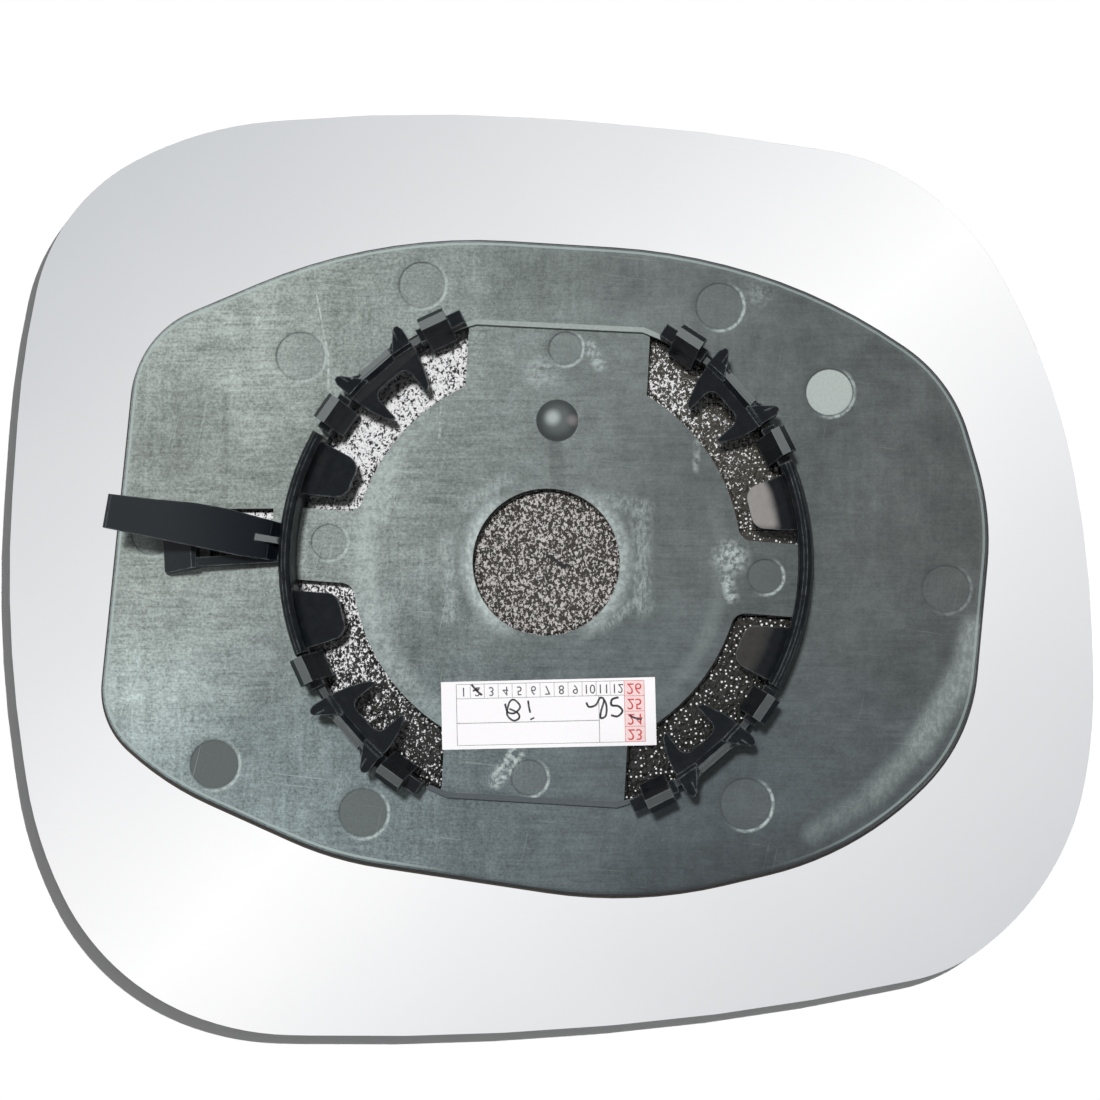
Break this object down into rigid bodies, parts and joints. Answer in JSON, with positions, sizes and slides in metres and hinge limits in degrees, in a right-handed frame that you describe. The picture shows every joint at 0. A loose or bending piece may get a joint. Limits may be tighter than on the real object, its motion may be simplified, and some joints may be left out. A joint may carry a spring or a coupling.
{
  "type": "car door mirror glass",
  "caption": "Rounded square flat mirror glass on a rounded plastic backing plate with a ring of snap hooks, springy forks and a long side arm.",
  "frame": {"origin": "on the clip ring's axis, at the mirror's reflecting face", "axes": "+X towards the right of the picture, along the glass's longer side; +Y towards its top; +Z out of the back of the glass, the way the clips point"},
  "size_m": [0.1746, 0.1491, 0.0162],
  "materials": {
    "mirror_glass": "polished, silvered",
    "adhesive_film": "pebbled, glossy",
    "backing_plate": "fine satin, scuffed",
    "date_label": "printed paper"
  },
  "bodies": {
    "root": {"mirror_glass": "mirror_glass", "adhesive_film": "adhesive_film", "backing_plate": "backing_plate", "date_label": "date_label"}
  },
  "joints": []
}
